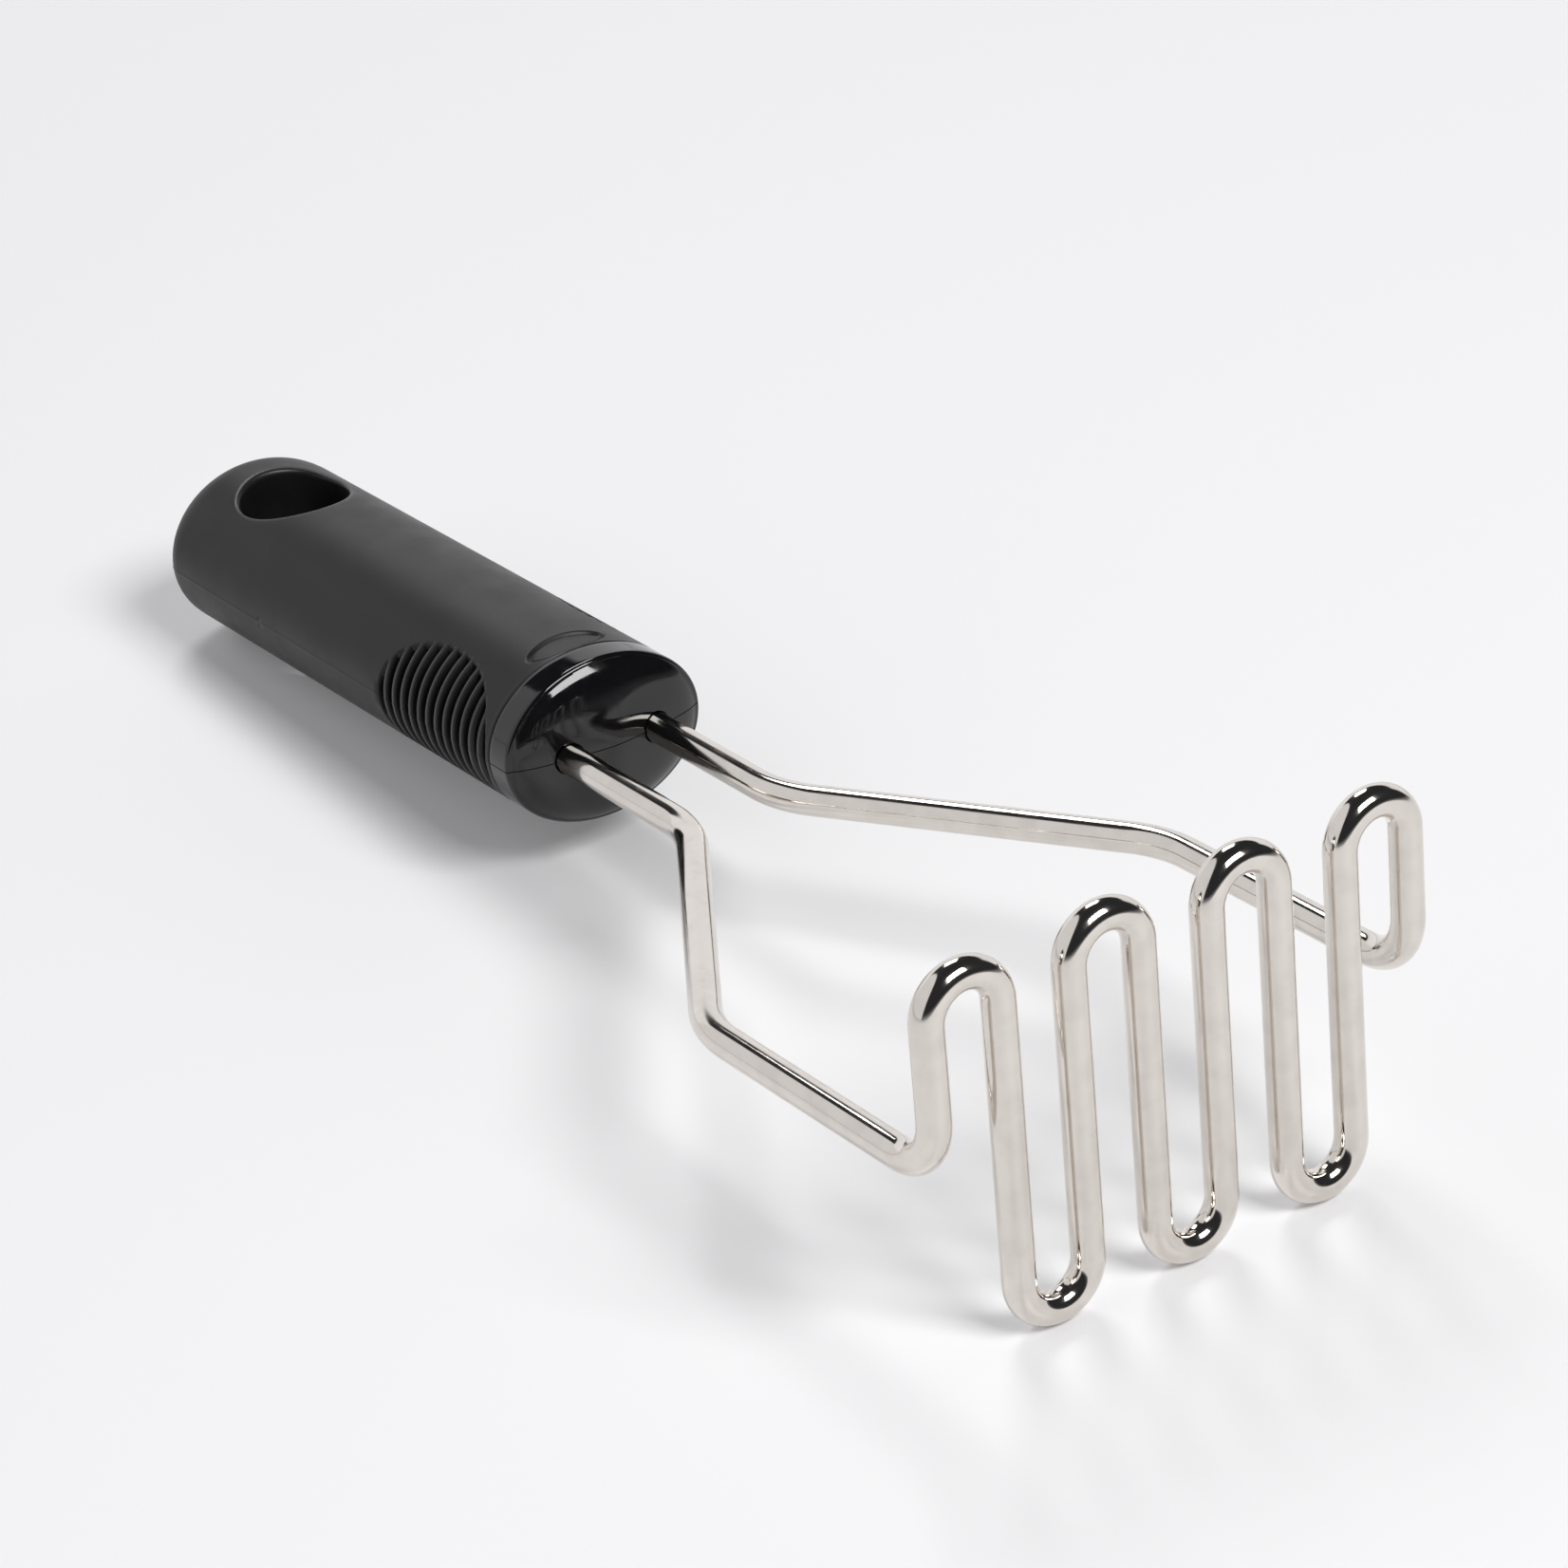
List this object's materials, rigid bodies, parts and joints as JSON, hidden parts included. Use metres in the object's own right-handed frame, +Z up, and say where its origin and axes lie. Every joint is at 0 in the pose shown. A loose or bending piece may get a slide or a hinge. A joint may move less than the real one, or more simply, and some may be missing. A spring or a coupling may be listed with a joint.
{
  "type": "wire potato masher",
  "caption": "Hand masher: one bent steel wire forms two legs and a wavy upright head, clamped in a two-part core inside an oval soft grip with a hang hole.",
  "frame": {"origin": "middle of the object's box at the surface it lies on, with the handle's rear end and the head's lower loops on that surface", "axes": "+X from the handle to the head, +Z up, +Y across the head"},
  "size_m": [0.2687, 0.0882, 0.0617],
  "materials": {
    "polished_steel": "polished",
    "hard_black": "gloss",
    "soft_grip": "satin"
  },
  "bodies": {
    "root": {"masher_wire": "polished_steel", "core_upper": "hard_black", "core_lower": "hard_black", "grip_sleeve": "soft_grip"}
  },
  "joints": []
}
